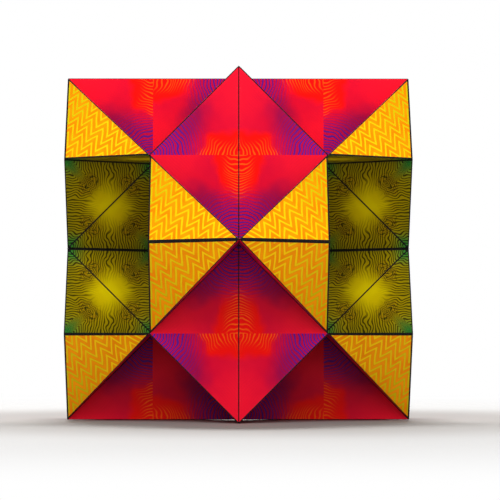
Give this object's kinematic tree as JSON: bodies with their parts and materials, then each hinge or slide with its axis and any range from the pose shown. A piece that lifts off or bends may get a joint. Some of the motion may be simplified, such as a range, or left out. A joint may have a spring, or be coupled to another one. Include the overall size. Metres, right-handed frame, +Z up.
{
  "type": "twisty puzzle cube",
  "caption": "Magnetic folding puzzle: cubes made of film-hinged wedges, opened out and clicked together into one star-shaped block with square fronts and deep side recesses.",
  "frame": {"origin": "middle of the footprint, on the surface that the block stands on", "axes": "+Z up, -Y the front that shows two red squares, one above the other, +X right"},
  "size_m": [0.1612, 0.2264, 0.1612],
  "materials": {
    "shell_black": "satin black moulded plastic, seen as thin edge lines",
    "print_red": "glossy printed film, red with fine purple contour lines",
    "print_yellow": "glossy printed film, yellow and orange zigzags",
    "print_green": "glossy printed film, olive and dark green contour lines",
    "hinge_film": "black edge of the folded hinge film",
    "magnet_nickel": "nickel plate"
  },
  "bodies": {
    "base_cube": {"base_back_petal_l": "shell_black", "base_side_arm_up_l": "shell_black", "base_side_arm_low_l": "shell_black", "base_side_petal_l": "shell_black", "base_front_petal_l": "shell_black", "base_centre_arm_l": "shell_black", "base_back_petal_r": "shell_black", "base_side_arm_up_r": "shell_black", "base_side_arm_low_r": "shell_black", "base_side_petal_r": "shell_black", "base_front_petal_r": "shell_black", "base_centre_arm_r": "shell_black", "base_magnet_l_a": "magnet_nickel", "base_magnet_l_b": "magnet_nickel", "base_magnet_l_c": "magnet_nickel", "base_magnet_r_a": "magnet_nickel", "base_magnet_r_b": "magnet_nickel", "base_magnet_r_c": "magnet_nickel"},
    "top_cube": {"top_back_petal_l": "shell_black", "top_back_petal_r": "shell_black"},
    "top_arm_up_l": {"top_side_arm_up_l": "shell_black"},
    "top_arm_low_l": {"top_side_arm_low_l": "shell_black"},
    "top_petal_l": {"top_side_petal_l": "shell_black", "top_front_petal_l": "shell_black"},
    "top_centre_l": {"top_centre_arm_l": "shell_black", "top_magnet_l_a": "magnet_nickel", "top_magnet_l_b": "magnet_nickel", "top_magnet_l_c": "magnet_nickel"},
    "top_arm_up_r": {"top_side_arm_up_r": "shell_black"},
    "top_arm_low_r": {"top_side_arm_low_r": "shell_black"},
    "top_petal_r": {"top_side_petal_r": "shell_black", "top_front_petal_r": "shell_black"},
    "top_centre_r": {"top_centre_arm_r": "shell_black", "top_magnet_r_a": "magnet_nickel", "top_magnet_r_b": "magnet_nickel", "top_magnet_r_c": "magnet_nickel"},
    "left_cube": {"left_back_petal_l": "shell_black", "left_back_petal_r": "shell_black"},
    "left_arm_up_l": {"left_side_arm_up_l": "shell_black"},
    "left_arm_low_l": {"left_side_arm_low_l": "shell_black"},
    "left_petal_l": {"left_side_petal_l": "shell_black", "left_front_petal_l": "shell_black"},
    "left_centre_l": {"left_centre_arm_l": "shell_black"},
    "left_arm_up_r": {"left_side_arm_up_r": "shell_black"},
    "left_arm_low_r": {"left_side_arm_low_r": "shell_black"},
    "left_petal_r": {"left_side_petal_r": "shell_black", "left_front_petal_r": "shell_black"},
    "left_centre_r": {"left_centre_arm_r": "shell_black"},
    "right_cube": {"right_back_petal_l": "shell_black", "right_back_petal_r": "shell_black"},
    "right_arm_up_l": {"right_side_arm_up_l": "shell_black"},
    "right_arm_low_l": {"right_side_arm_low_l": "shell_black"},
    "right_petal_l": {"right_side_petal_l": "shell_black", "right_front_petal_l": "shell_black"},
    "right_centre_l": {"right_centre_arm_l": "shell_black"},
    "right_arm_up_r": {"right_side_arm_up_r": "shell_black"},
    "right_arm_low_r": {"right_side_arm_low_r": "shell_black"},
    "right_petal_r": {"right_side_petal_r": "shell_black", "right_front_petal_r": "shell_black"},
    "right_centre_r": {"right_centre_arm_r": "shell_black"}
  },
  "joints": [
    {"name": "top_pull", "type": "slide", "parent": "base_cube", "child": "top_cube", "axis": [0, -0.5774, 0.8165], "range_m": [0, 0.06]},
    {"name": "top_back_fold_l", "type": "hinge", "parent": "top_cube", "child": "top_arm_up_l", "pos_m": [-0.02021, 0, 0.14124], "axis": [0.7071, 0, 0.7071], "range_deg": [0, 9.8]},
    {"name": "top_side_arm_fold_l", "type": "hinge", "parent": "top_arm_up_l", "child": "top_arm_low_l", "pos_m": [-0.06062, 0, 0.14124], "axis": [-0.7071, 0, 0.7071], "range_deg": [-18.1, 0]},
    {"name": "top_side_fold_l", "type": "hinge", "parent": "top_arm_low_l", "child": "top_petal_l", "pos_m": [-0.04041, -0.02857, 0.12103], "axis": [0, 1, 0], "range_deg": [-9.8, 0]},
    {"name": "top_front_fold_l", "type": "hinge", "parent": "top_petal_l", "child": "top_centre_l", "pos_m": [-0.02021, -0.05715, 0.10083], "axis": [0.7071, 0, -0.7071], "range_deg": [-9.8, 0]},
    {"name": "top_back_fold_r", "type": "hinge", "parent": "top_cube", "child": "top_arm_up_r", "pos_m": [0.02021, 0, 0.14124], "axis": [-0.7071, 0, 0.7071], "range_deg": [-9.8, 0]},
    {"name": "top_side_arm_fold_r", "type": "hinge", "parent": "top_arm_up_r", "child": "top_arm_low_r", "pos_m": [0.06062, 0, 0.14124], "axis": [0.7071, 0, 0.7071], "range_deg": [0, 18.1]},
    {"name": "top_side_fold_r", "type": "hinge", "parent": "top_arm_low_r", "child": "top_petal_r", "pos_m": [0.04041, -0.02857, 0.12103], "axis": [0, 1, 0], "range_deg": [0, 9.8]},
    {"name": "top_front_fold_r", "type": "hinge", "parent": "top_petal_r", "child": "top_centre_r", "pos_m": [0.02021, -0.05715, 0.10083], "axis": [-0.7071, 0, -0.7071], "range_deg": [0, 9.8]},
    {"name": "left_pull", "type": "slide", "parent": "base_cube", "child": "left_cube", "axis": [-0.8165, 0.5774, 0], "range_m": [0, 0.06]},
    {"name": "left_back_fold_l", "type": "hinge", "parent": "left_cube", "child": "left_arm_up_l", "pos_m": [-0.06062, 0, 0.06042], "axis": [-0.7071, 0, 0.7071], "range_deg": [-9.8, 0]},
    {"name": "left_side_arm_fold_l", "type": "hinge", "parent": "left_arm_up_l", "child": "left_arm_low_l", "pos_m": [-0.06062, 0, 0.02001], "axis": [-0.7071, 0, -0.7071], "range_deg": [0, 18.1]},
    {"name": "left_side_fold_l", "type": "hinge", "parent": "left_arm_low_l", "child": "left_petal_l", "pos_m": [-0.04041, 0.02857, 0.04021], "axis": [0, -1, 0], "range_deg": [0, 9.8]},
    {"name": "left_front_fold_l", "type": "hinge", "parent": "left_petal_l", "child": "left_centre_l", "pos_m": [-0.02021, 0.05715, 0.06042], "axis": [0.7071, 0, 0.7071], "range_deg": [0, 9.8]},
    {"name": "left_back_fold_r", "type": "hinge", "parent": "left_cube", "child": "left_arm_up_r", "pos_m": [-0.06062, 0, 0.10083], "axis": [-0.7071, 0, -0.7071], "range_deg": [0, 9.8]},
    {"name": "left_side_arm_fold_r", "type": "hinge", "parent": "left_arm_up_r", "child": "left_arm_low_r", "pos_m": [-0.06062, 0, 0.14124], "axis": [-0.7071, 0, 0.7071], "range_deg": [-18.1, 0]},
    {"name": "left_side_fold_r", "type": "hinge", "parent": "left_arm_low_r", "child": "left_petal_r", "pos_m": [-0.04041, 0.02857, 0.12103], "axis": [0, -1, 0], "range_deg": [-9.8, 0]},
    {"name": "left_front_fold_r", "type": "hinge", "parent": "left_petal_r", "child": "left_centre_r", "pos_m": [-0.02021, 0.05715, 0.10083], "axis": [0.7071, 0, -0.7071], "range_deg": [-9.8, 0]},
    {"name": "right_pull", "type": "slide", "parent": "base_cube", "child": "right_cube", "axis": [0.8165, 0.5774, 0], "range_m": [0, 0.06]},
    {"name": "right_back_fold_l", "type": "hinge", "parent": "right_cube", "child": "right_arm_up_l", "pos_m": [0.06062, 0, 0.06042], "axis": [0.7071, 0, 0.7071], "range_deg": [0, 9.8]},
    {"name": "right_side_arm_fold_l", "type": "hinge", "parent": "right_arm_up_l", "child": "right_arm_low_l", "pos_m": [0.06062, 0, 0.02001], "axis": [0.7071, 0, -0.7071], "range_deg": [-18.1, 0]},
    {"name": "right_side_fold_l", "type": "hinge", "parent": "right_arm_low_l", "child": "right_petal_l", "pos_m": [0.04041, 0.02857, 0.04021], "axis": [0, -1, 0], "range_deg": [-9.8, 0]},
    {"name": "right_front_fold_l", "type": "hinge", "parent": "right_petal_l", "child": "right_centre_l", "pos_m": [0.02021, 0.05715, 0.06042], "axis": [-0.7071, 0, 0.7071], "range_deg": [-9.8, 0]},
    {"name": "right_back_fold_r", "type": "hinge", "parent": "right_cube", "child": "right_arm_up_r", "pos_m": [0.06062, 0, 0.10083], "axis": [0.7071, 0, -0.7071], "range_deg": [-9.8, 0]},
    {"name": "right_side_arm_fold_r", "type": "hinge", "parent": "right_arm_up_r", "child": "right_arm_low_r", "pos_m": [0.06062, 0, 0.14124], "axis": [0.7071, 0, 0.7071], "range_deg": [0, 18.1]},
    {"name": "right_side_fold_r", "type": "hinge", "parent": "right_arm_low_r", "child": "right_petal_r", "pos_m": [0.04041, 0.02857, 0.12103], "axis": [0, -1, 0], "range_deg": [0, 9.8]},
    {"name": "right_front_fold_r", "type": "hinge", "parent": "right_petal_r", "child": "right_centre_r", "pos_m": [0.02021, 0.05715, 0.10083], "axis": [-0.7071, 0, -0.7071], "range_deg": [0, 9.8]}
  ],
  "couplings": [
    {"joint": "top_back_fold_l", "follows": "top_pull", "rad_per_m": 2.8216},
    {"joint": "top_side_arm_fold_l", "follows": "top_pull", "rad_per_m": -5.236},
    {"joint": "top_side_fold_l", "follows": "top_pull", "rad_per_m": -2.8216},
    {"joint": "top_front_fold_l", "follows": "top_pull", "rad_per_m": -2.8216},
    {"joint": "top_back_fold_r", "follows": "top_pull", "rad_per_m": -2.8216},
    {"joint": "top_side_arm_fold_r", "follows": "top_pull", "rad_per_m": 5.236},
    {"joint": "top_side_fold_r", "follows": "top_pull", "rad_per_m": 2.8216},
    {"joint": "top_front_fold_r", "follows": "top_pull", "rad_per_m": 2.8216},
    {"joint": "left_back_fold_l", "follows": "left_pull", "rad_per_m": -2.8216},
    {"joint": "left_side_arm_fold_l", "follows": "left_pull", "rad_per_m": 5.236},
    {"joint": "left_side_fold_l", "follows": "left_pull", "rad_per_m": 2.8216},
    {"joint": "left_front_fold_l", "follows": "left_pull", "rad_per_m": 2.8216},
    {"joint": "left_back_fold_r", "follows": "left_pull", "rad_per_m": 2.8216},
    {"joint": "left_side_arm_fold_r", "follows": "left_pull", "rad_per_m": -5.236},
    {"joint": "left_side_fold_r", "follows": "left_pull", "rad_per_m": -2.8216},
    {"joint": "left_front_fold_r", "follows": "left_pull", "rad_per_m": -2.8216},
    {"joint": "right_back_fold_l", "follows": "right_pull", "rad_per_m": 2.8216},
    {"joint": "right_side_arm_fold_l", "follows": "right_pull", "rad_per_m": -5.236},
    {"joint": "right_side_fold_l", "follows": "right_pull", "rad_per_m": -2.8216},
    {"joint": "right_front_fold_l", "follows": "right_pull", "rad_per_m": -2.8216},
    {"joint": "right_back_fold_r", "follows": "right_pull", "rad_per_m": -2.8216},
    {"joint": "right_side_arm_fold_r", "follows": "right_pull", "rad_per_m": 5.236},
    {"joint": "right_side_fold_r", "follows": "right_pull", "rad_per_m": 2.8216},
    {"joint": "right_front_fold_r", "follows": "right_pull", "rad_per_m": 2.8216}
  ]
}
